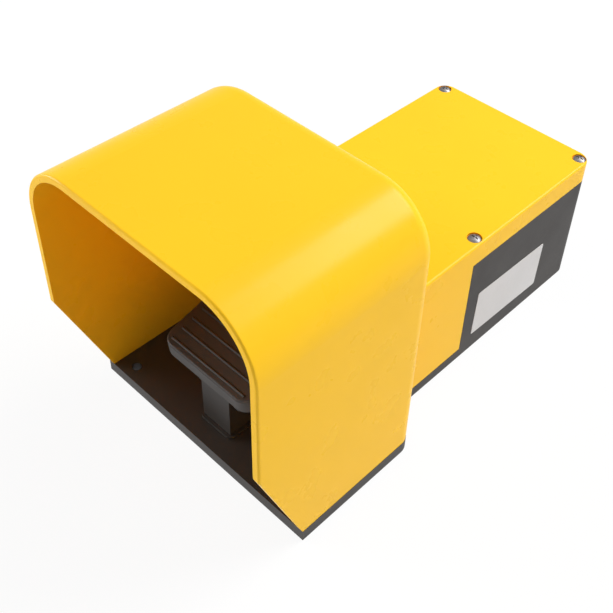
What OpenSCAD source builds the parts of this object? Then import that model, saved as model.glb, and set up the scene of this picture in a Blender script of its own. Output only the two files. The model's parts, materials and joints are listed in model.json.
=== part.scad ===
// Guarded industrial foot switch: a hooded treadle that works two contact blocks
// through a sealed plunger and a rocker. Millimetres, +Z up, front opening towards -Y.
// Distances along the length are measured back from the front edge of the base plate.

/* [Overall] */
// Width of the hood and of the base plate
overall_w = 160; // [156:1:170]
// Length from the hood's front rim to the rear wall
overall_l = 299.5; // [290:0.5:320]
// Height to the top of the hood
overall_h = 175.6; // [170:0.1:190]
// How far the hood reaches in front of the base plate
overhang = 28.5; // [20:0.5:34]

/* [Base] */
// Top of the base plate under the hood
plate_top = 8.4; // [8:0.1:11]
// Height that the feet lift the base
foot_lift = 0.8; // [0.5:0.1:2]
// Depth of the plate, front edge to the hood's rear face
plate_l = 85.5; // [84:0.1:90]
// Radius of the plate's rear corners
plate_corner = 9; // [4:1:12]
// Width of the rear compartment
body_w = 117.4; // [110:0.2:124]
// Top of the black walls, below the lid's lip
wall_top = 76.6; // [70:0.1:80]
// Where the lid's deep skirt ends and the tall black wall starts
skirt_end = 153.6; // [145:0.1:160]

/* [Hood] */
// Wall thickness of the hood
hood_t = 4; // [3:0.5:5]
// Outer radius of the hood's shoulders
shoulder_r = 34; // [30:1:44]
// Outer radius where the hood's sides and top meet its rear wall
rear_edge_r = 9; // [8:1:16]
// Height at which the slanted lower front edge starts
cheek_h = 79.3; // [60:0.1:90]

/* [Lid] */
// Top of the lid
lid_top = 91.2; // [88:0.1:96]
// Thickness of the lid's roof
roof_t = 4; // [3:0.5:5]
// Thickness of the lid's lip and skirt
lip_t = 3; // [2.5:0.1:3.3]
// Plan radius of the lid's rear corners
lid_corner = 9; // [7:1:14]
// Radius of the lid's upper edges
lid_edge = 1.5; // [1:0.5:4]
// Distance of the lid screws from the centre plane
screw_x = 53; // [50:0.1:54]
// Lid screws, front and rear pair
screw_ys = [159, 264.4];

/* [Pedal] */
// Width of the tread
pedal_w = 66; // [58:1:72]
// Length of the tread along its slope
pedal_l = 68; // [62:1:70]
// Setback of the tread's front edge from the plate's front edge
pedal_y = 5; // [3:1:8]
// Height of the tread's front edge
pedal_z = 60; // [56:1:64]
// Rise of the tread towards the rear, in degrees
pedal_tilt = 16.8; // [12:0.1:18]
// Pitch of the grip ribs
rib_pitch = 7.5; // [6:0.5:9]

/* [Mechanism] */
// Pivot of the pedal: distance and height
pedal_pivot = [24, 36];
// Distance of the plunger
plunger_y = 58; // [56:1:60]
// Travel of the plunger
plunger_travel = 6.3; // [5:0.1:7]
// Pivot of the rocker: distance and height
rocker_pivot = [98, 27.1];
// Distance of the contact blocks' centre
block_y = 118; // [116:1:120]
// Spacing of the two contact blocks
block_pitch = 18; // [17:0.5:20]

/* [Hidden] */
$fn = 64;

eps = 0.01;
fit = 0.3;
base_y = overhang - overall_l / 2;      // front edge of the base plate in the model's Y
total_y = overall_l - overhang;         // rear wall, from the plate's front edge

// Hood section
hood_base_x = overall_w / 2 - 0.2;
arc_z = overall_h - shoulder_r;
arc_x = hood_base_x - shoulder_r;
rim_round = 1.2;

// Compartment
lip_gap = 0.3;
ring_x = body_w / 2 - lip_t - lip_gap;
ring_y = total_y - lip_t - lip_gap;
ring_corner = lid_corner - lip_t - lip_gap;
ring_t = 3.2;
gasket_t = 2;
ring_top = lid_top - roof_t - gasket_t;
tray_floor = 5;
tray_front = plate_l + 0.5;
shell_t = 3.5;
ledge_z = 66.6;
boss_r = 5.4;
entry_r = 9.25;
entry_z = 38;

// Actuator tower under the pedal's toe end
tower_x = 24;
tower_y = 44;
tower_top = 48;
tower_t = 3.5;

// Pivot stand
stand_x = 11;
stand_y = 13;
buffer_y = 17;
buffer_seat = 51;

// Pedal
tread_t = 5;
pedal_corner = 8;
skirt_d = 8.5;
skirt_flare = 1.15;
skirt_t = 2.6;
tread_edge = 1.5;
cheek_x = 12;
cheek_t = 4;
cheek_r = 9;
shaft_r = 4;
bush_r = 6;
run_gap = 0.05;

// Plunger
head_r = 7;
rod_r = 5;
tread_under = pedal_z + (plunger_y - pedal_y) * tan(pedal_tilt) - tread_t / cos(pedal_tilt);
head_z = tread_under - head_r / cos(pedal_tilt) - 0.4;
bar_z = 33;
bar_t = 3.5;
stem_r = 3.4;

// Rocker
rocker_half = 14.5;
arm_t = 3.5;
tip_r = 2.5;
tip_z = bar_z - tip_r - fit;
pad_r = 2.9;
pad_z = rocker_pivot[1] - plunger_travel / 2 * (block_y - rocker_pivot[0]) / (rocker_pivot[0] - plunger_y);
pin_r = 3;
ear_x = 15.2;
ear_t = 4;

// Contact blocks
block_w = 16;
block_z = 34;
block_half = 18;
shoulder_z = 50;
tower_half = 9.5;
block_top = 60;
cavity_half = 8;
cavity_z = [38, 57];
bridge_z = 45;
strip_t = 1;
post_y = 14.5;
push_z = pad_z + pad_r + fit;
no_contact_z = bridge_z + plunger_travel / 2 + 0.2;
nc_contact_z = bridge_z - 2 * strip_t - 0.15;

// Fixings
fix_x = 65;
fix_ys = [8, 66];
fix_r = 2.75;
hood_screw = [70.5, 75];
foot_spots = [[66, 24], [44, 240]];
foot_r = 8;
bracket_x = 24.5;
bracket_ys = [110, 130];
bracket_t = 1.5;
bracket_z = block_z - bracket_t;

// ---------- shared shapes ----------

module from_front() { translate([0, base_y, 0]) children(); }

module both_sides() {
    children();
    mirror([1, 0, 0]) children();
}

// Plan outline from y0 to y1 with rounded rear corners
module rear_rounded(half, y0, y1, r) {
    translate([-half, y0]) square([2 * half, y1 - r - y0]);
    translate([r - half, y0]) square([2 * (half - r), y1 - y0]);
    for (s = [-1, 1]) translate([s * (half - r), y1 - r]) circle(r);
}

// Plan outline with all four corners rounded
module all_rounded(half, y0, y1, r) {
    rear_rounded(half, y0 + r, y1, r);
    translate([r - half, y0]) square([2 * (half - r), 2 * r]);
    for (s = [-1, 1]) translate([s * (half - r), y0 + r]) circle(r);
}

// Rectangle from the origin with its far upper corner rounded
module one_round(w, h, r) {
    square([w, h - r]);
    square([w - r, h]);
    translate([w - r, h - r]) circle(r);
}

// Cylinder along X between x0 and x1 through (y, z)
module rod_x(y, z, r, x0, x1) {
    translate([x0, y, z]) rotate([0, 90, 0]) cylinder(r = r, h = x1 - x0);
}

// Profile drawn in (y, z), extruded along X between x0 and x1
module plate_x(x0, x1) {
    translate([x0, 0, 0]) rotate([90, 0, 90]) linear_extrude(x1 - x0) children();
}

// Straight bar with round ends between two points of a profile
module link2d(a, b, w) {
    d = b - a;
    waist = w * 0.9;
    translate(a) rotate(atan2(d[1], d[0])) translate([0, -waist / 2]) square([norm(d), waist]);
    translate(a) circle(d = w);
    translate(b) circle(d = w);
}

// Pan-head screw pointing down from the head's underside at z = 0
module pan_screw(r, length, head_d, head_h) {
    rotate_extrude() {
        translate([0, -length]) square([r, length + eps]);
        square([head_d / 2, head_h * 0.4]);
        intersection() {
            translate([0, head_h - head_d * 0.72]) circle(head_d * 0.72);
            square([head_d / 2, head_h]);
        }
    }
}

// Driver recess for a pan head, cut from the head's top
module cross_cut(head_d, head_h) {
    arm = head_d * 0.62;
    slot = head_d * 0.13;
    translate([0, 0, head_h - 0.9]) {
        translate([-arm / 2, -slot / 2, 0]) cube([arm, slot, 2]);
        translate([-slot / 2, -arm / 2, 0]) cube([slot, arm, 2]);
    }
}

module cross_screw(r, length, head_d, head_h) {
    difference() {
        pan_screw(r, length, head_d, head_h);
        cross_cut(head_d, head_h);
    }
}

// Helical wire spring with closed flat-lying ends, from z = 0 up to h
function coil_z(t, turns, h, wire) =
    let (s = t / turns, rest = 0.75 / turns, run = h - 4 * wire)
    s < rest ? wire + 2 * wire * s / rest * 0.5
    : s > 1 - rest ? h - wire - 2 * wire * (1 - s) / rest * 0.5
    : 2 * wire + run * (s - rest) / (1 - 2 * rest);

module coil_spring(radius, wire, turns, h, per_turn = 14, sides = 6) {
    n = turns * per_turn;
    rings = [for (i = [0 : n]) let (t = i / per_turn, a = 360 * t, z = coil_z(t, turns, h, wire))
        for (k = [0 : sides - 1]) let (b = 360 * k / sides, u = radius + wire * cos(b))
            [u * cos(a), u * sin(a), z + wire * sin(b)]];
    quads = [for (i = [0 : n - 1]) for (k = [0 : sides - 1])
        let (j = (k + 1) % sides) [i * sides + j, i * sides + k, (i + 1) * sides + k, (i + 1) * sides + j]];
    first = [[for (k = [0 : sides - 1]) k]];
    last = [[for (k = [sides - 1 : -1 : 0]) n * sides + k]];
    polyhedron(rings, concat(quads, first, last), convexity = 10);
}

// ---------- base ----------

module base_plate() {
    pocket_z = plate_top - 3.5;
    difference() {
        translate([0, 0, foot_lift]) linear_extrude(plate_top - foot_lift)
            rear_rounded(overall_w / 2, 0, plate_l, plate_corner);
        for (ix = [0 : 3], iy = [0 : 2]) {
            x = -75 + ix * 37.7;
            y = 4 + iy * 26.6;
            beside_tower = ix == 0 || ix == 3;
            if (beside_tower || iy == 0)
                translate([x, y, -1]) cube([35.2, 24.1, pocket_z + 1]);
        }
    }
    both_sides() {
        for (y = fix_ys) translate([fix_x, y, foot_lift]) cylinder(r = 6.5, h = 6);
        translate([hood_screw[0], hood_screw[1], foot_lift]) cylinder(r = 7, h = 6);
        translate([foot_spots[0][0], foot_spots[0][1], foot_lift]) cylinder(r = foot_r + 2, h = 6);
    }
}

module tray_shell() {
    translate([0, 0, foot_lift]) linear_extrude(plate_top - 0.4 - foot_lift)
        rear_rounded(body_w / 2, plate_l - 12, total_y, lid_corner);
    intersection() {
        translate([0, 0, foot_lift]) linear_extrude(wall_top - foot_lift)
            rear_rounded(body_w / 2, plate_l, total_y, lid_corner);
        translate([-body_w, skirt_end + lip_gap, 0]) cube([2 * body_w, total_y, lid_top]);
    }
    translate([0, 0, foot_lift]) linear_extrude(ring_top - foot_lift)
        rear_rounded(ring_x, tray_front, ring_y, ring_corner);
}

module tray_cavity() {
    translate([0, 0, tray_floor]) linear_extrude(lid_top)
        rear_rounded(ring_x - ring_t, tray_front + shell_t, ring_y - ring_t, ring_corner - ring_t);
    translate([0, 0, tray_floor]) linear_extrude(ledge_z - tray_floor)
        rear_rounded(body_w / 2 - shell_t, skirt_end + shell_t, total_y - shell_t, lid_corner - shell_t);
}

// Posts for the lid screws, kept inside the ring that carries the gasket
module lid_bosses() {
    translate([0, 0, foot_lift]) linear_extrude(ring_top - foot_lift) intersection() {
        rear_rounded(ring_x, tray_front, ring_y, ring_corner);
        both_sides() for (y = screw_ys) translate([screw_x, y]) circle(boss_r);
    }
}

module tower_shell() {
    translate([0, 0, plate_top - 1]) linear_extrude(tower_top - plate_top + 1) difference() {
        translate([0, 2 * tower_y + 60]) mirror([0, 1]) rear_rounded(tower_x, 60, tower_y + 60, 6);
        translate([-tower_x - 1, tray_front + 1]) square([2 * tower_x + 2, 100]);
    }
}

module pivot_stand() {
    translate([0, 0, plate_top - 1]) {
        translate([-stand_x, stand_y, 0]) cube([2 * stand_x, 2 * 11, pedal_pivot[1] - plate_top + 1]);
        translate([-stand_x, stand_y, 0]) cube([2 * stand_x, 8, buffer_seat - plate_top + 1]);
    }
    rod_x(pedal_pivot[0], pedal_pivot[1], 10, -stand_x, stand_x);
    translate([0, stand_y - 2, plate_top - 1]) linear_extrude(3) all_rounded(stand_x + 2, 0, 26, 4);
}

module rocker_ears() {
    both_sides() difference() {
        union() {
            translate([ear_x, rocker_pivot[0] - 6, tray_floor - 1])
                cube([ear_t, 12, rocker_pivot[1] - tray_floor + 1]);
            rod_x(rocker_pivot[0], rocker_pivot[1], 6, ear_x, ear_x + ear_t);
        }
        rod_x(rocker_pivot[0], rocker_pivot[1], pin_r, ear_x - 1, ear_x + ear_t + 1);
    }
}

module bracket_bosses() {
    both_sides() for (y = bracket_ys) translate([bracket_x, y, tray_floor - 1]) cylinder(r = 5, h = 5);
}

module base_tray() {
    color("#2b2a28") from_front() difference() {
        union() {
            difference() {
                union() {
                    base_plate();
                    tray_shell();
                    tower_shell();
                }
                tray_cavity();
                translate([-tower_x + tower_t, tower_y + tower_t, plate_top])
                    cube([2 * (tower_x - tower_t), tray_front + 10 - tower_y, tower_top - tower_t - plate_top]);
            }
            pivot_stand();
            lid_bosses();
            rocker_ears();
            bracket_bosses();
            translate([0, ring_y - ring_t - 3, entry_z]) rotate([-90, 0, 0])
                cylinder(r = entry_r + 4, h = ring_t + 4);
            translate([0, plunger_y, plate_top - 1]) cylinder(r = 4.8, h = 4);
        }
        rod_x(pedal_pivot[0], pedal_pivot[1], shaft_r, -stand_x - 1, stand_x + 1);
        translate([0, buffer_y, buffer_seat - 6]) cylinder(r = 2.2, h = 7);
        translate([0, plunger_y, tower_top - 10]) cylinder(r = rod_r + 2.5, h = 11);
        translate([0, total_y - 20, entry_z]) rotate([-90, 0, 0]) cylinder(r = entry_r, h = 30);
        both_sides() {
            for (y = fix_ys) translate([fix_x, y, -1]) cylinder(r = fix_r, h = 20);
            translate([hood_screw[0], hood_screw[1], -1]) cylinder(r = 2.2, h = 20);
            translate([hood_screw[0], hood_screw[1], -1]) cylinder(r = 4.2, h = foot_lift + 1 + 3.2);
            for (p = foot_spots) translate([p[0], p[1], -1]) cylinder(r = foot_r, h = foot_lift + 1 + 2.2);
            for (y = screw_ys) translate([screw_x, y, ring_top - 16]) cylinder(r = 1.65, h = 20);
            for (y = bracket_ys) translate([bracket_x, y, tray_floor - 2]) cylinder(r = 1.65, h = 12);
        }
    }
}

// ---------- cover ----------

// Section of the hood's wall and rear wall: X is outwards, Y runs back from the plate's front
module hood_section() {
    translate([0, -overhang]) difference() {
        union() {
            translate([0, rim_round]) one_round(shoulder_r, plate_l + overhang - rim_round, rear_edge_r);
            translate([0, 0]) square([shoulder_r - rim_round, 5]);
            translate([shoulder_r - rim_round, rim_round]) circle(rim_round);
        }
        translate([-1, -1]) one_round(shoulder_r - hood_t + 1, plate_l + overhang - hood_t + 1,
            rear_edge_r - hood_t);
    }
}

module hood_side() {
    translate([arc_x, 0, plate_top]) linear_extrude(arc_z - plate_top) hood_section();
    translate([arc_x, 0, arc_z]) rotate([-90, 0, 0]) rotate([0, 0, -90])
        rotate_extrude(angle = 90) hood_section();
}

module hood_rear_wall() {
    translate([-arc_x, plate_l - hood_t, plate_top]) cube([2 * arc_x, hood_t, arc_z - plate_top]);
}

module hood_shell() {
    difference() {
        union() {
            both_sides() hood_side();
            translate([arc_x, 0, arc_z]) rotate([0, -90, 0]) linear_extrude(2 * arc_x) hood_section();
            hood_rear_wall();
        }
        translate([-overall_w, -2 * overhang, -10]) cube([2 * overall_w, 200, 10 + plate_top]);
        plate_x(-overall_w, overall_w)
            polygon([[0, plate_top - 1], [0, plate_top], [-overhang, cheek_h], [-overhang - 9, cheek_h],
                [-overhang - 9, plate_top - 1]]);
    }
}

// Section of the lid's rim: X is outwards from the corner centre, Y is height
module rim_section() {
    lip_z = wall_top + lip_gap;
    translate([0, lip_z]) difference() {
        one_round(lid_corner, lid_top - lip_z, lid_edge);
        translate([-1, -1]) square([lid_corner - lip_t + 1, lid_top - roof_t - lip_z + 1]);
    }
}

module lid_shell() {
    start = plate_l - 2;
    corner_x = body_w / 2 - lid_corner;
    corner_y = total_y - lid_corner;
    both_sides() {
        translate([corner_x, corner_y, 0]) rotate([90, 0, 0]) linear_extrude(corner_y - start) rim_section();
        translate([corner_x, corner_y, 0]) rotate_extrude(angle = 90) rim_section();
        translate([body_w / 2 - lip_t, start, plate_top]) cube([lip_t, skirt_end - start, 75]);
    }
    translate([-corner_x, corner_y, 0]) rotate([90, 0, 90]) linear_extrude(2 * corner_x) rim_section();
    translate([-corner_x - 1, start, lid_top - roof_t]) cube([2 * corner_x + 2, corner_y + 1 - start, roof_t]);
}

// Screw posts in the hood's rear corners, joined to both walls
module hood_bosses() {
    web = 6;
    post_h = 24;
    to_side = hood_base_x - hood_t + 1 - hood_screw[0];
    to_rear = plate_l - hood_t + 1 - hood_screw[1];
    both_sides() translate([hood_screw[0], hood_screw[1], plate_top]) {
        cylinder(r = 6, h = post_h);
        translate([0, -web / 2, 0]) cube([to_side, web, post_h]);
        translate([-web / 2, 0, 0]) cube([web, to_rear, post_h]);
    }
}

module cover_hood() {
    color("#f7c62c") from_front() difference() {
        union() {
            hood_shell();
            lid_shell();
            hood_bosses();
        }
        translate([-tower_x - 0.5, plate_l - hood_t - 1, plate_top - 1])
            cube([2 * tower_x + 1, hood_t + 2, tower_top - plate_top + 1.5]);
        both_sides() {
            for (y = screw_ys) {
                translate([screw_x, y, lid_top - 10]) cylinder(r = 2.2, h = 20);
                translate([screw_x, y, lid_top - 1.6]) cylinder(r = 4.4, h = 5);
            }
            translate([hood_screw[0], hood_screw[1], plate_top - 1]) cylinder(r = 1.65, h = 20);
        }
    }
}

module lid_gasket() {
    inset = 0.2;
    color("#1c1c1c") from_front() translate([0, 0, ring_top]) linear_extrude(gasket_t) difference() {
        union() {
            difference() {
                rear_rounded(ring_x - inset, tray_front + inset, ring_y - inset, ring_corner - inset);
                rear_rounded(ring_x - ring_t, tray_front + shell_t, ring_y - ring_t, ring_corner - ring_t);
            }
            intersection() {
                rear_rounded(ring_x - inset, tray_front + inset, ring_y - inset, ring_corner - inset);
                for (s = [-1, 1], y = screw_ys) translate([s * screw_x, y]) circle(boss_r);
            }
        }
        for (s = [-1, 1], y = screw_ys) translate([s * screw_x, y]) circle(2.3);
    }
}

// ---------- fixings ----------

module lid_screws() {
    color("#c9ccd0") from_front() for (s = [-1, 1], y = screw_ys)
        translate([s * screw_x, y, lid_top - 1.6]) cross_screw(1.65, 16, 7.6, 2.4);
}

module hood_screws() {
    color("#c9ccd0") from_front() for (s = [-1, 1])
        translate([s * hood_screw[0], hood_screw[1], foot_lift + 3.2]) mirror([0, 0, 1])
            cross_screw(1.65, 20, 7.6, 2.4);
}

module rubber_feet() {
    color("#1c1c1c") from_front() for (s = [-1, 1], p = foot_spots)
        translate([s * p[0], p[1], 0]) rotate_extrude() {
            square([foot_r - 0.8, 3]);
            translate([0, 0.8]) square([foot_r, 2.2]);
        }
}

// ---------- pedal ----------

// Section of the pedal's rounded edge and skirt, X outwards from the corner centre
module pedal_section() {
    difference() {
        union() {
            translate([0, -tread_edge]) square([pedal_corner - tread_edge, tread_edge]);
            translate([pedal_corner - tread_edge, -tread_edge]) circle(tread_edge);
            polygon([[0, -tread_edge], [pedal_corner, -tread_edge],
                [pedal_corner + skirt_flare, -skirt_d], [0, -skirt_d]]);
        }
        polygon([[-1, -tread_t], [pedal_corner - skirt_t, -tread_t],
            [pedal_corner - skirt_t + skirt_flare, -skirt_d - 1], [-1, -skirt_d - 1]]);
    }
}

module tread() {
    cx = pedal_w / 2 - pedal_corner;
    both_sides() {
        translate([cx, pedal_l - pedal_corner, 0]) rotate([90, 0, 0])
            linear_extrude(pedal_l - 2 * pedal_corner) pedal_section();
        translate([cx, pedal_l - pedal_corner, 0]) rotate_extrude(angle = 90) pedal_section();
        translate([cx, pedal_corner, 0]) rotate([0, 0, -90]) rotate_extrude(angle = 90) pedal_section();
    }
    translate([-cx, pedal_l - pedal_corner, 0]) rotate([90, 0, 90]) linear_extrude(2 * cx) pedal_section();
    translate([cx, pedal_corner, 0]) rotate([90, 0, -90]) linear_extrude(2 * cx) pedal_section();
    translate([-cx - 1, pedal_corner - 1, -tread_t])
        cube([2 * cx + 2, pedal_l - 2 * pedal_corner + 2, tread_t]);
}

module tread_ribs() {
    count = floor((pedal_l - 12) / rib_pitch);
    for (i = [0 : count])
        rod_x(4.5 + i * rib_pitch, -0.15, 0.9, -pedal_w / 2 + 5, pedal_w / 2 - 5);
}

// Height of the tread's top surface at distance y
function tread_at(y) = pedal_z + (y - pedal_y) * tan(pedal_tilt);

module pedal_cheeks() {
    y = pedal_pivot[0];
    z = pedal_pivot[1];
    both_sides() plate_x(cheek_x, cheek_x + cheek_t) {
        translate([y, z]) circle(cheek_r);
        polygon([[y - cheek_r, z], [y - cheek_r - 2, tread_at(y - cheek_r - 2) - 2.5],
            [y + 40, tread_at(y + 40) - 2.5], [y + 40, tread_at(y + 40) - 10],
            [y + cheek_r + 6, tread_at(y + 20) - 12], [y + cheek_r, z]]);
    }
}

module pedal() {
    color("#2b2a28") from_front() difference() {
        union() {
            translate([0, pedal_y, pedal_z]) rotate([pedal_tilt, 0, 0]) {
                tread();
                tread_ribs();
            }
            pedal_cheeks();
        }
        rod_x(pedal_pivot[0], pedal_pivot[1], bush_r, -cheek_x - cheek_t - 1, cheek_x + cheek_t + 1);
    }
}

module pedal_bushes() {
    color("#d9d6cc") from_front() both_sides() translate([cheek_x - 0.6, pedal_pivot[0], pedal_pivot[1]])
        rotate([0, 90, 0]) rotate_extrude() {
            translate([shaft_r + run_gap, 0]) square([bush_r - shaft_r - run_gap, cheek_t + 0.6]);
            translate([shaft_r + run_gap, 0]) square([8 - shaft_r - run_gap, 0.6]);
        }
}

module pivot_shaft() {
    groove = 0.6;
    color("#b8bcc0") from_front() difference() {
        rod_x(pedal_pivot[0], pedal_pivot[1], shaft_r, -19, 19);
        both_sides() translate([16.6, pedal_pivot[0], pedal_pivot[1]]) rotate([0, 90, 0]) difference() {
            cylinder(r = 6, h = 1);
            translate([0, 0, -1]) cylinder(r = shaft_r - groove, h = 4);
        }
    }
}

// Snap-on retaining ring in the plane X = 0
module ring_clip(inner, outer, t) {
    rotate([90, 0, 90]) linear_extrude(t) difference() {
        circle(outer);
        circle(inner);
        translate([-inner * 0.8, -outer - 1]) square([inner * 1.6, outer + 1]);
    }
}

module shaft_clips() {
    color("#8d9196") from_front() both_sides()
        translate([16.65, pedal_pivot[0], pedal_pivot[1]]) ring_clip(3.4, 6.6, 0.9);
}

module rest_buffer() {
    top = tread_at(stand_y) - tread_t / cos(pedal_tilt) - fit;
    color("#1c1c1c") from_front() translate([0, buffer_y, 0]) rotate_extrude() {
        translate([0, buffer_seat - 5.8]) square([2.2, 6]);
        translate([0, buffer_seat]) square([3.9, top - buffer_seat - 1]);
        translate([0, buffer_seat]) square([2.9, top - buffer_seat]);
        translate([2.9, top - 1]) circle(1);
    }
}

// ---------- plunger ----------

module plunger() {
    color("#d9d6cc") from_front() translate([0, plunger_y, 0]) {
        rotate_extrude() {
            intersection() {
                translate([0, head_z]) circle(head_r);
                translate([0, head_z]) square([head_r, head_r]);
            }
            translate([0, head_z - 3]) square([head_r, 3]);
            translate([0, bar_z]) square([rod_r, head_z - 2 - bar_z]);
            translate([0, bar_z - 14]) square([stem_r, 15]);
        }
        translate([-15, -4.5, bar_z]) cube([30, 9, bar_t]);
    }
}

module guide_bush() {
    color("#c8a64a") from_front() translate([0, plunger_y, 0]) rotate_extrude() {
        translate([rod_r + run_gap, tower_top - 9]) square([2.5 - run_gap, 9]);
        translate([rod_r + run_gap, tower_top]) square([5 - run_gap, 1.6]);
    }
}

module plunger_boot() {
    low = tower_top + 1.6;
    high = head_z - 3.1;
    folds = 3;
    pitch = (high - low - 2) / folds;
    wall = 0.9;
    outer = [for (i = [0 : folds]) each i < folds
        ? [[6.6, low + 1 + i * pitch], [9, low + 1 + (i + 0.5) * pitch]] : [[6.6, low + 1 + i * pitch]]];
    inner = [for (i = [len(outer) - 1 : -1 : 0]) outer[i] - [wall, 0]];
    color("#1c1c1c") from_front() translate([0, plunger_y, 0]) rotate_extrude() {
        polygon(concat(outer, inner));
        translate([rod_r + 0.3, low]) square([4, 1.2]);
        translate([rod_r + 0.3, high - 1.2]) square([1.7, 1.2]);
    }
}

module return_spring() {
    color("#9fa4a8") from_front() translate([0, plunger_y, plate_top + 0.1])
        coil_spring(6.1, 0.8, 6, bar_z - plate_top - 0.2);
}

// ---------- rocker ----------

module rocker_lever() {
    hub_y = rocker_pivot[0];
    hub_z = rocker_pivot[1];
    color("#8d9196") from_front() difference() {
        union() {
            both_sides() plate_x(rocker_half - arm_t, rocker_half) {
                link2d([plunger_y, tip_z], [hub_y, hub_z], 2 * tip_r);
                translate([hub_y, hub_z]) circle(6);
                link2d([hub_y, hub_z], [block_y, pad_z], 2 * pad_r);
            }
            plate_x(-rocker_half, rocker_half) {
                translate([hub_y, hub_z]) circle(5);
                link2d([block_y - 3, pad_z + 0.2], [block_y, pad_z], 2 * pad_r);
            }
        }
        rod_x(hub_y, hub_z, pin_r + run_gap, -rocker_half - 1, rocker_half + 1);
    }
}

module rocker_shaft() {
    color("#b8bcc0") from_front() difference() {
        rod_x(rocker_pivot[0], rocker_pivot[1], pin_r, -22, 22);
        both_sides() translate([ear_x + ear_t + 0.1, rocker_pivot[0], rocker_pivot[1]]) rotate([0, 90, 0])
            difference() {
                cylinder(r = 5, h = 0.9);
                translate([0, 0, -1]) cylinder(r = pin_r - 0.5, h = 4);
            }
    }
}

module rocker_clips() {
    color("#8d9196") from_front() both_sides()
        translate([ear_x + ear_t + 0.15, rocker_pivot[0], rocker_pivot[1]]) ring_clip(2.5, 5.2, 0.8);
}

// ---------- contact blocks ----------

module at_block(side) { translate([side * block_pitch / 2, block_y, 0]) children(); }

module block_bracket() {
    half = 20;
    y0 = block_y - block_half - 1;
    color("#b8bcc0") from_front() difference() {
        union() {
            translate([-half, y0 + 6, bracket_z]) cube([2 * half, 31, bracket_t]);
            both_sides() {
                translate([half - bracket_t, y0 + 6, tray_floor + 4]) cube([bracket_t, 31, bracket_z - tray_floor - 3]);
                translate([half - bracket_t, y0 + 6, tray_floor + 4]) cube([10, 31, bracket_t]);
            }
            translate([-half, y0 + 6, bracket_z]) cube([bracket_t, 31, 8]);
        }
        translate([-13.5, block_y - 5, bracket_z - 1]) cube([27, 10, 4]);
        both_sides() for (y = bracket_ys) translate([bracket_x, y, tray_floor]) cylinder(r = 2.2, h = 9);
        for (s = [-1, 1]) rod_x(block_y + s * 10.5, block_z + 3.5, 1.6, -half - 1, -half + 4);
    }
}

module bracket_screws() {
    color("#c9ccd0") from_front() for (s = [-1, 1], y = bracket_ys)
        translate([s * bracket_x, y, tray_floor + 4 + bracket_t]) cross_screw(1.65, 6, 7, 2.2);
}

module block_screws() {
    color("#c9ccd0") from_front() for (s = [-1, 1]) {
        translate([block_pitch / 2 + block_w / 2, block_y + s * 10.5, block_z + 3.5]) rotate([0, 90, 0])
            cross_screw(1.5, block_pitch + block_w + 6, 5.6, 2);
        translate([-20, block_y + s * 10.5, block_z + 3.5]) rotate([0, -90, 0]) difference() {
            cylinder(r = 3.2, h = 2.4, $fn = 6);
            translate([0, 0, -1]) cylinder(r = 1.5, h = 5);
        }
    }
}

module block_body(contact_z) {
    gap = 0.1;
    difference() {
        plate_x(-block_w / 2, block_w / 2)
            polygon([[-block_half, block_z], [block_half, block_z], [block_half, shoulder_z],
                [tower_half, shoulder_z], [tower_half, block_top], [-tower_half, block_top],
                [-tower_half, shoulder_z], [-block_half, shoulder_z]]);
        translate([-3.4, -cavity_half, cavity_z[0]]) cube([6.8, 2 * cavity_half, cavity_z[1] - cavity_z[0]]);
        translate([-3, -3, block_z - 1]) cube([6, 6, 10]);
        for (m = [0, 1]) mirror([0, m, 0]) {
            translate([-3, cavity_half - 1, contact_z - gap]) cube([6, 5.2, strip_t + 2 * gap]);
            translate([-3, 11, contact_z - gap]) cube([6, 1.2 + gap, shoulder_z]);
            translate([0, post_y, shoulder_z - 9]) cylinder(r = 1.65, h = 12);
            rod_x(10.5, block_z + 3.5, 1.6, -block_w, block_w);
        }
    }
}

module contact_block_no() { color("#3a3f45") from_front() at_block(-1) block_body(no_contact_z); }
module contact_block_nc() { color("#3a3f45") from_front() at_block(1) block_body(nc_contact_z); }

// Push rod with a window for the bridge; it slides up into the block
module block_rod() {
    difference() {
        union() {
            translate([-2.8, -2.8, push_z]) cube([5.6, 5.6, bridge_z - push_z - strip_t]);
            translate([-2.8, -2.8, bridge_z - strip_t]) cube([5.6, 5.6, 3]);
        }
        translate([-1.6, -4, bridge_z - strip_t]) cube([3.2, 8, strip_t]);
    }
}

module block_plunger_no() { color("#b3262a") from_front() at_block(-1) block_rod(); }
module block_plunger_nc() { color("#b3262a") from_front() at_block(1) block_rod(); }

module bridge() {
    translate([-1.5, -7.4, bridge_z - strip_t]) cube([3, 14.8, strip_t]);
}

module contact_bridge_no() { color("#c8a64a") from_front() at_block(-1) bridge(); }
module contact_bridge_nc() { color("#c8a64a") from_front() at_block(1) bridge(); }

module bridge_spring() {
    translate([0, 0, bridge_z + 2.1]) coil_spring(2, 0.3, 6, cavity_z[1] - bridge_z - 2.2, 10, 6);
}

module bridge_spring_no() { color("#9fa4a8") from_front() at_block(-1) bridge_spring(); }
module bridge_spring_nc() { color("#9fa4a8") from_front() at_block(1) bridge_spring(); }

// Contact strips from the block's shoulders down to the bridge
module strips(contact_z) {
    for (m = [0, 1]) mirror([0, m, 0]) {
        translate([-2.9, 5, contact_z]) cube([5.8, 7.1, strip_t]);
        translate([-2.9, 11.1, contact_z]) cube([5.8, 1, shoulder_z - contact_z + strip_t]);
        difference() {
            translate([-2.9, 11.1, shoulder_z]) cube([5.8, 6.5, strip_t]);
            translate([0, post_y, shoulder_z - 1]) cylinder(r = 1.7, h = 4);
        }
    }
}

module fixed_contacts_no() { color("#c8a64a") from_front() at_block(-1) strips(no_contact_z); }
module fixed_contacts_nc() { color("#c8a64a") from_front() at_block(1) strips(nc_contact_z); }

module each_terminal() {
    for (side = [-1, 1], s = [-1, 1]) at_block(side) translate([0, s * post_y, shoulder_z + strip_t]) children();
}

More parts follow.
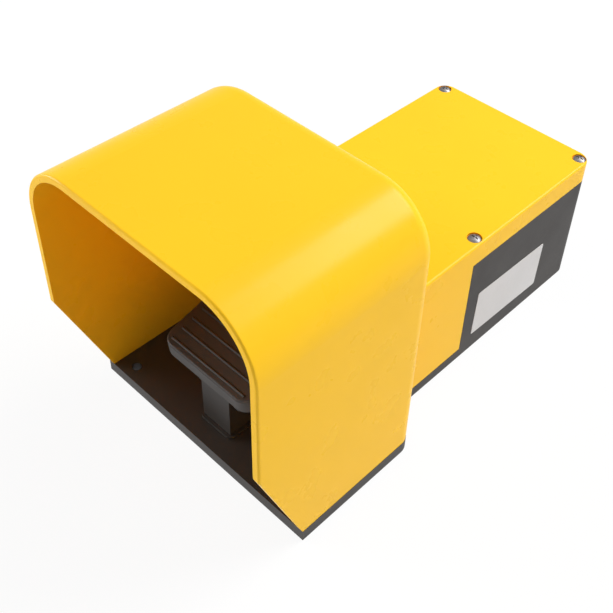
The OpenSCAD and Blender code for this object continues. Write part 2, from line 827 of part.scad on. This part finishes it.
module terminal_clamps() {
    color("#c9ccd0") from_front() each_terminal() difference() {
        translate([-3.2, -2.9, 0]) cube([6.4, 5.8, 1]);
        translate([0, 0, -1]) cylinder(r = 1.7, h = 4);
    }
}

module terminal_screws() {
    color("#c9ccd0") from_front() each_terminal() translate([0, 0, 1]) cross_screw(1.6, 8, 5.4, 2.2);
}

base_tray();
cover_hood();
lid_gasket();
lid_screws();
hood_screws();
rubber_feet();
pedal();
pedal_bushes();
pivot_shaft();
shaft_clips();
rest_buffer();
plunger();
plunger_boot();
guide_bush();
return_spring();
rocker_lever();
rocker_shaft();
rocker_clips();
block_bracket();
bracket_screws();
block_screws();
contact_block_no();
contact_block_nc();
block_plunger_no();
block_plunger_nc();
contact_bridge_no();
contact_bridge_nc();
bridge_spring_no();
bridge_spring_nc();
fixed_contacts_no();
fixed_contacts_nc();
terminal_clamps();
terminal_screws();
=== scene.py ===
"""Looks of the guarded foot switch: materials, the bare plate on its side, floor, lights and camera."""

import json
import math

import bmesh
import bpy
from mathutils import Matrix, Vector


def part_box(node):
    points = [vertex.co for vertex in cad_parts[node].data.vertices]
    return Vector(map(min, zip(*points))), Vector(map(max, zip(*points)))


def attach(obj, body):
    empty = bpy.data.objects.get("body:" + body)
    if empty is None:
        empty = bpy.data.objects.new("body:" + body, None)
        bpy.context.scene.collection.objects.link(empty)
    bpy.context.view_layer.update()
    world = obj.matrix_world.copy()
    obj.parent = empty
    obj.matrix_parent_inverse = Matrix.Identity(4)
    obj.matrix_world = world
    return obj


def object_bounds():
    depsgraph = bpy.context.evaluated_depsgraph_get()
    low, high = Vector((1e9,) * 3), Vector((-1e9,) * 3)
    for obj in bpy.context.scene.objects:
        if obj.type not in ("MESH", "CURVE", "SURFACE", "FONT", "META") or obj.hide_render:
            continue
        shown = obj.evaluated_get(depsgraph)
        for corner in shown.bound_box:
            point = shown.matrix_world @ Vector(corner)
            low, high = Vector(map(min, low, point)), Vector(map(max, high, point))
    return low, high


MM = 0.001
WHITE = (1.0, 1.0, 1.0, 1.0)

# Camera: place in metres, view direction in degrees, lens for a 36 mm wide sensor
CAMERA_AT = (0.26782, -0.31735, 0.44905)
CAMERA_AZIMUTH = 41.6
CAMERA_ELEVATION = 40.98
CAMERA_ROLL = 2.965
CAMERA_LENS = 57.62
CAMERA_SENSOR = 36.0
CAMERA_SHIFT = (-0.0533, -0.1310)

# World: light on the object and what its gloss shows
AMBIENT = 0.2
GLOSS_BACKGROUND = 0.6

# Floor: its own colour, the share of white that the camera sees over its shadow, its strength in gloss
FLOOR_SIZE = 6.0
FLOOR_COLOR = (0.85, 0.85, 0.85, 1.0)
FLOOR_ROUGHNESS = 0.9
FLOOR_WHITE = 0.92
FLOOR_GLOSS = 0.75

# Spread of roughness either way over a moulding
MOULDED_SPREAD = 0.035

# Lamps, all turned to one point near the top of the hood: metres, watts, and degrees from overhead
LAMP_TARGET = (0.05, -0.03, 0.15)
SOFTBOX_TO_RIGHT = 24.0
SOFTBOX_TO_REAR = 42.0
SOFTBOX_DISTANCE = 2.2
SOFTBOX_SIZE = (1.5, 1.02)
SOFTBOX_POWER = 60.0

# Round lamps: direction seen from the target, distance, width and power
ROUND_LAMPS = {
    "top": ((-0.12, 0.3, 1.0), 1.5, 1.1, 3.0),
    "side": ((1.0, 0.25, 0.45), 1.6, 0.9, 1.2),
    "front": ((-0.9, -0.5, 0.15), 1.6, 1.0, 23.0),
    "fill": ((0.35, -0.85, 0.3), 1.6, 0.8, 2.5),
}

# Bare plate in millimetres, with its tilt in degrees
PLATE_FROM_REAR = (40.0, 106.5)
PLATE_HEIGHTS = (12.5, 46.5)
PLATE_T = 0.15
PLATE_CORNER = 1.2
PLATE_CORNER_STEPS = 6
PLATE_TILT = 1.6
PLATE_WALL_REACH = 30.0

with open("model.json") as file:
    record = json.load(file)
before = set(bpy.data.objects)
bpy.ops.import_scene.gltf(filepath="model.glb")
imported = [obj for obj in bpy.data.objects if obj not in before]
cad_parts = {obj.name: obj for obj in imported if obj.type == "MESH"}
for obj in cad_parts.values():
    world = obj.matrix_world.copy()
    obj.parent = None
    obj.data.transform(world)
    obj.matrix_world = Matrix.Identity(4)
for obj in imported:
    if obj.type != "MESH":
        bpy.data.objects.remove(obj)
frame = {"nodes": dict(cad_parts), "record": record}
nodes = frame["nodes"]
cad_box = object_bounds()


# ---------- shader helpers ----------

def new_material(name):
    material = bpy.data.materials.new(name)
    material.use_nodes = True
    tree = material.node_tree
    return material, tree, tree.nodes["Principled BSDF"]


def add_node(tree, kind, **inputs):
    node = tree.nodes.new(kind)
    for name, value in inputs.items():
        node.inputs[name].default_value = value
    return node


def noise(tree, scale, detail, stretch=None):
    """Noise in the object's own coordinates, stretched along its axes where asked."""
    place = tree.nodes.new("ShaderNodeTexCoord").outputs["Object"]
    if stretch:
        mapping = add_node(tree, "ShaderNodeMapping", Scale=stretch)
        tree.links.new(place, mapping.inputs["Vector"])
        place = mapping.outputs["Vector"]
    node = add_node(tree, "ShaderNodeTexNoise", Scale=scale, Detail=detail)
    tree.links.new(place, node.inputs["Vector"])
    return node.outputs["Fac"]


def ramp(tree, source, low, high, start=0.3, end=0.7):
    node = tree.nodes.new("ShaderNodeValToRGB")
    first, last = node.color_ramp.elements
    first.position = start
    first.color = low
    last.position = end
    last.color = high
    tree.links.new(source, node.inputs["Fac"])
    return node.outputs["Color"]


def multiply_add(tree, source, factor, added):
    node = tree.nodes.new("ShaderNodeMath")
    node.operation = "MULTIPLY_ADD"
    node.inputs[1].default_value = factor
    tree.links.new(source, node.inputs[0])
    tree.links.new(added, node.inputs[2])
    return node.outputs[0]


def blend(tree, factor, first, second):
    node = tree.nodes.new("ShaderNodeMixShader")
    tree.links.new(factor, node.inputs["Fac"])
    tree.links.new(first, node.inputs[1])
    tree.links.new(second, node.inputs[2])
    return node.outputs["Shader"]


def grey(value):
    return (value, value, value, 1.0)


def shade(color, factor):
    red, green, blue = color
    return (red * factor, green * factor, blue * factor, 1.0)


def tint(tree, shader, pattern, color, dark, light):
    tinted = ramp(tree, pattern, shade(color, dark), shade(color, light))
    tree.links.new(tinted, shader.inputs["Base Color"])


def uneven_gloss(tree, shader, pattern, smooth, rough):
    gloss = ramp(tree, pattern, grey(smooth), grey(rough))
    tree.links.new(gloss, shader.inputs["Roughness"])


def bump(tree, shader, height, depth):
    node = add_node(tree, "ShaderNodeBump", Strength=1.0, Distance=depth)
    tree.links.new(height, node.inputs["Height"])
    tree.links.new(node.outputs["Normal"], shader.inputs["Normal"])


# ---------- kinds of material ----------

def moulded_plastic(name, color, roughness, grain=1200.0, depth=0.00001, specular=0.5, patch=0.03, ior=1.5):
    """Moulded plastic: faint colour patches, uneven gloss and a fine grain."""
    material, tree, shader = new_material(name)
    tint(tree, shader, noise(tree, scale=18.0, detail=3.0), color, dark=1.0 - patch, light=1.0 + patch)
    uneven_gloss(tree, shader, noise(tree, scale=55.0, detail=4.0),
                 smooth=roughness - MOULDED_SPREAD, rough=roughness + MOULDED_SPREAD)
    shader.inputs["Specular IOR Level"].default_value = specular
    shader.inputs["IOR"].default_value = ior
    bump(tree, shader, noise(tree, scale=grain, detail=2.0), depth)
    return material


def paint_enclosed_shade(material, painted_shade_color):
    """Painted shade and bounced light: let a material's colour grow deeper where its own piece encloses it.
    """
    tree = material.node_tree
    base_color = tree.nodes["Principled BSDF"].inputs["Base Color"]
    tinted = base_color.links[0].from_socket
    # Painted shade: the piece's own ambient occlusion turns the colour deeper orange in its hollows
    enclosed_shade = add_node(tree, "ShaderNodeAmbientOcclusion", Distance=0.2)
    enclosed_shade.only_local = True
    enclosed_shade.samples = 8
    lit_share = ramp(tree, enclosed_shade.outputs["AO"], grey(0.0), grey(1.0), start=0.35, end=0.8)
    mix = tree.nodes.new("ShaderNodeMix")
    mix.data_type = "RGBA"
    mix.inputs["A"].default_value = shade(painted_shade_color, 1.0)
    tree.links.new(lit_share, mix.inputs["Factor"])
    tree.links.new(tinted, mix.inputs["B"])
    tree.links.new(mix.outputs["Result"], base_color)


def metal(name, color, roughness, stretch=(1.0, 1.0, 1.0)):
    """Metal with fine streaks, left by drawing or plating."""
    material, tree, shader = new_material(name)
    streaks = noise(tree, scale=900.0, detail=3.0, stretch=stretch)
    tint(tree, shader, noise(tree, scale=260.0, detail=3.0), color, dark=0.86, light=1.08)
    uneven_gloss(tree, shader, streaks, smooth=roughness - 0.08, rough=roughness + 0.1)
    shader.inputs["Metallic"].default_value = 1.0
    bump(tree, shader, streaks, depth=0.000008)
    return material


# ---------- materials ----------

def yellow_cover():
    material = moulded_plastic("yellow_cover", color=(0.93, 0.54, 0.017), roughness=0.29, grain=260.0,
                               depth=0.000003, specular=0.4, patch=0.012, ior=1.25)
    # Painted shade and bounced light: deeper orange inside the hood, where it encloses itself
    paint_enclosed_shade(material, painted_shade_color=(0.97, 0.43, 0.003))
    return material


def black_housing():
    return moulded_plastic("black_housing", color=(0.031, 0.026, 0.023), roughness=0.46, grain=1300.0,
                           depth=0.00003, specular=0.47, patch=0.12)


def black_rubber():
    material, tree, shader = new_material("black_rubber")
    color = (0.018, 0.018, 0.018)
    tint(tree, shader, noise(tree, scale=60.0, detail=4.0), color, dark=0.8, light=1.25)
    shader.inputs["Roughness"].default_value = 0.72
    bump(tree, shader, noise(tree, scale=2200.0, detail=2.0), depth=0.00003)
    return material


def screw_steel():
    return metal("screw_steel", color=(0.25, 0.24, 0.24), roughness=0.46)


def shaft_steel():
    return metal("shaft_steel", color=(0.56, 0.57, 0.58), roughness=0.28, stretch=(0.2, 6.0, 6.0))


def spring_steel():
    return metal("spring_steel", color=(0.42, 0.43, 0.45), roughness=0.36)


def natural_nylon():
    return moulded_plastic("natural_nylon", color=(0.74, 0.70, 0.60), roughness=0.42)


def brass():
    return metal("brass", color=(0.70, 0.48, 0.17), roughness=0.28)


def block_grey():
    return moulded_plastic("block_grey", color=(0.07, 0.08, 0.09), roughness=0.45, patch=0.06)


def red_button():
    return moulded_plastic("red_button", color=(0.52, 0.02, 0.02), roughness=0.4)


def label_foil():
    material, tree, shader = new_material("label_foil")
    color = (0.60, 0.585, 0.58)
    tint(tree, shader, noise(tree, scale=30.0, detail=3.0), color, dark=0.97, light=1.03)
    uneven_gloss(tree, shader, noise(tree, scale=420.0, detail=3.0), smooth=0.30, rough=0.42)
    bump(tree, shader, noise(tree, scale=600.0, detail=2.0), depth=0.00001)
    return material


def slot_materials():
    return {
        "yellow_cover": yellow_cover(),
        "black_housing": black_housing(),
        "black_rubber": black_rubber(),
        "screw_steel": screw_steel(),
        "shaft_steel": shaft_steel(),
        "spring_steel": spring_steel(),
        "natural_nylon": natural_nylon(),
        "brass": brass(),
        "block_grey": block_grey(),
        "red_button": red_button(),
    }


def dress_nodes():
    materials = slot_materials()
    for part in frame["record"]["subparts"]:
        node = nodes[part["node"]]
        node.data.materials.clear()
        node.data.materials.append(materials[part["material_slot"]])


# ---------- bare plate on the side of the compartment ----------

def tray_rear():
    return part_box("base_tray")[1][1]


def side_wall_x():
    """Right wall of the compartment, read from the rear end of the tray."""
    start = tray_rear() - PLATE_WALL_REACH * MM
    return max(v.co.x for v in nodes["base_tray"].data.vertices if v.co.y > start)


def rounded_rectangle(width, height, radius):
    points = []
    for side_x, side_y, start in ((1, 1, 0), (-1, 1, 90), (-1, -1, 180), (1, -1, 270)):
        for step in range(PLATE_CORNER_STEPS + 1):
            angle = math.radians(start + 90.0 * step / PLATE_CORNER_STEPS)
            x = side_x * (width / 2 - radius) + radius * math.cos(angle)
            y = side_y * (height / 2 - radius) + radius * math.sin(angle)
            points.append((x, y))
    return points


def plate_mesh():
    """Thin plate that stands on the YZ plane, round its own middle."""
    length = (PLATE_FROM_REAR[1] - PLATE_FROM_REAR[0]) * MM
    height = (PLATE_HEIGHTS[1] - PLATE_HEIGHTS[0]) * MM
    outline = rounded_rectangle(length, height, PLATE_CORNER * MM)
    mesh = bmesh.new()
    face = mesh.faces.new([mesh.verts.new((0.0, y, z)) for y, z in outline])
    grown = bmesh.ops.extrude_face_region(mesh, geom=[face])
    outer = [v for v in grown["geom"] if isinstance(v, bmesh.types.BMVert)]
    bmesh.ops.translate(mesh, verts=outer, vec=(PLATE_T * MM, 0.0, 0.0))
    bmesh.ops.recalc_face_normals(mesh, faces=mesh.faces[:])
    return mesh


def bare_plate():
    mid_y = tray_rear() - sum(PLATE_FROM_REAR) / 2 * MM
    mid_z = sum(PLATE_HEIGHTS) / 2 * MM
    tilt = Matrix.Rotation(math.radians(-PLATE_TILT), 4, "X")
    mesh = plate_mesh()
    mesh.transform(Matrix.Translation((side_wall_x(), mid_y, mid_z)) @ tilt)
    data = bpy.data.meshes.new("label_plate")
    mesh.to_mesh(data)
    mesh.free()
    data.materials.append(label_foil())
    plate = bpy.data.objects.new("label_plate", data)
    bpy.context.collection.objects.link(plate)
    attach(plate, "housing")


# ---------- stage ----------

def white_floor():
    """Floor that is nearly white to the camera, with part of the shadow left, and plain to the light."""
    bpy.ops.mesh.primitive_plane_add(size=FLOOR_SIZE, location=(0.0, 0.0, cad_box[0][2]))
    floor = bpy.context.object
    floor.name = "floor"
    material, tree, shader = new_material("floor_white")
    shader.inputs["Base Color"].default_value = FLOOR_COLOR
    shader.inputs["Roughness"].default_value = FLOOR_ROUGHNESS
    path = tree.nodes.new("ShaderNodeLightPath")
    seen = path.outputs["Is Camera Ray"]
    mirrored = path.outputs["Is Glossy Ray"]
    glow = tree.nodes.new("ShaderNodeEmission")
    tree.links.new(multiply_add(tree, mirrored, FLOOR_GLOSS, seen), glow.inputs["Strength"])
    share = multiply_add(tree, seen, FLOOR_WHITE, mirrored)
    surface = blend(tree, share, shader.outputs["BSDF"], glow.outputs["Emission"])
    tree.links.new(surface, tree.nodes["Material Output"].inputs["Surface"])
    floor.data.materials.append(material)


def background(tree, strength):
    return add_node(tree, "ShaderNodeBackground", Color=WHITE, Strength=strength).outputs["Background"]


def studio_world():
    """World that lights the object softly, shows more in gloss and is white to the camera."""
    world = bpy.data.worlds.new("studio")
    bpy.context.scene.world = world
    world.use_nodes = True
    tree = world.node_tree
    tree.nodes.clear()
    path = tree.nodes.new("ShaderNodeLightPath")
    soft = background(tree, AMBIENT)
    gloss = background(tree, GLOSS_BACKGROUND)
    white = background(tree, 1.0)
    lit = blend(tree, path.outputs["Is Glossy Ray"], soft, gloss)
    surface = blend(tree, path.outputs["Is Camera Ray"], lit, white)
    out = tree.nodes.new("ShaderNodeOutputWorld")
    tree.links.new(surface, out.inputs["Surface"])


def area_lamp(name, shape, size, power, turn, distance):
    """Lamp that looks at the target: turn is its rotation about that point."""
    data = bpy.data.lights.new(name, "AREA")
    data.shape = shape
    data.size, data.size_y = size
    data.energy = power
    lamp = bpy.data.objects.new(name, data)
    lamp.matrix_world = Matrix.Translation(LAMP_TARGET) @ turn @ Matrix.Translation((0.0, 0.0, distance))
    bpy.context.collection.objects.link(lamp)


def softbox():
    """Rectangular lamp overhead, leant to the right and then to the rear."""
    to_right = Matrix.Rotation(math.radians(SOFTBOX_TO_RIGHT), 4, "Y")
    to_rear = Matrix.Rotation(math.radians(-SOFTBOX_TO_REAR), 4, "X")
    area_lamp("softbox", "RECTANGLE", SOFTBOX_SIZE, SOFTBOX_POWER, to_right @ to_rear, SOFTBOX_DISTANCE)


def round_lamps():
    for name, (direction, distance, width, power) in ROUND_LAMPS.items():
        turn = Vector(direction).to_track_quat("Z", "Y").to_matrix().to_4x4()
        area_lamp(name, "DISK", (width, width), power, turn, distance)


def camera():
    data = bpy.data.cameras.new("camera")
    data.sensor_width = CAMERA_SENSOR
    data.lens = CAMERA_LENS
    data.shift_x, data.shift_y = CAMERA_SHIFT
    azimuth = Matrix.Rotation(math.radians(CAMERA_AZIMUTH), 4, "Z")
    elevation = Matrix.Rotation(math.radians(90.0 - CAMERA_ELEVATION), 4, "X")
    roll = Matrix.Rotation(math.radians(CAMERA_ROLL), 4, "Z")
    view = bpy.data.objects.new("camera", data)
    view.matrix_world = Matrix.Translation(CAMERA_AT) @ azimuth @ elevation @ roll
    bpy.context.collection.objects.link(view)
    bpy.context.scene.camera = view


dress_nodes()
bare_plate()
white_floor()
studio_world()
softbox()
round_lamps()
camera()
bpy.context.scene.view_settings.view_transform = "Standard"
